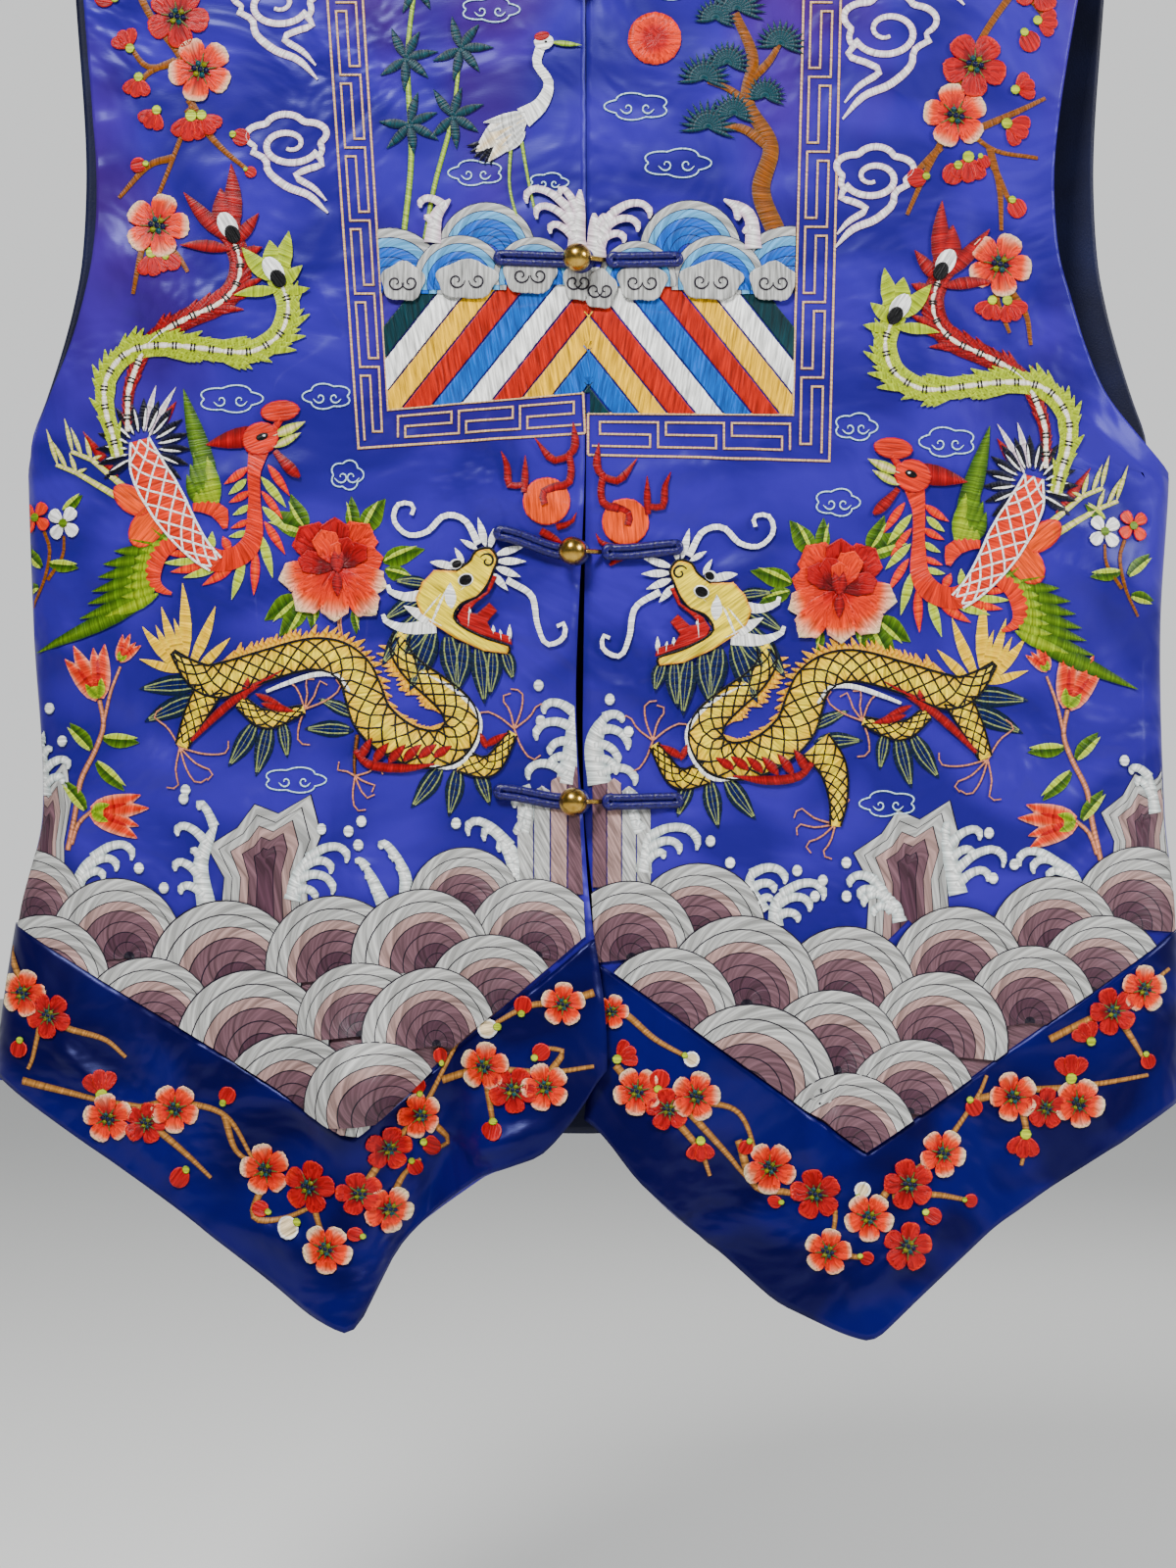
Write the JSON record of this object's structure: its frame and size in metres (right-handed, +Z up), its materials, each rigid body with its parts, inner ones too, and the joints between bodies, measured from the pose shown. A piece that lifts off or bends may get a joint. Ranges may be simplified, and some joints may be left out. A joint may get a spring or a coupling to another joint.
{
  "type": "embroidered satin vest on a hanger",
  "caption": "Sleeveless satin vest with two pointed fronts, applied hem bands and ball-and-loop closures, hung on a plain hanger with a fixed hook.",
  "frame": {"origin": "inside of the hook's top, where it rests on a peg or rail", "axes": "+Z up, -Y out of the fronts, +X to the right as seen by someone who looks at the fronts"},
  "size_m": [0.541, 0.0964, 0.8134],
  "materials": {
    "satin": "royal blue-violet satin",
    "band_satin": "deeper blue satin",
    "lining": "dark navy plain weave",
    "cord_cloth": "rolled satin cord",
    "brass": "polished, a little worn",
    "hanger_wood": "clear varnish",
    "hook_steel": "bright wire"
  },
  "bodies": {
    "root": {"front_left": "satin", "front_right": "satin", "back": "satin", "lining_back": "lining", "band_left": "band_satin", "band_right": "band_satin", "band_back": "band_satin", "loop_1": "cord_cloth", "loop_2": "cord_cloth", "loop_3": "cord_cloth", "loop_4": "cord_cloth", "bar_1": "cord_cloth", "bar_2": "cord_cloth", "bar_3": "cord_cloth", "bar_4": "cord_cloth", "button_1": "brass", "button_2": "brass", "button_3": "brass", "button_4": "brass", "hanger": "hanger_wood", "hanger_hook": "hook_steel"}
  },
  "joints": []
}
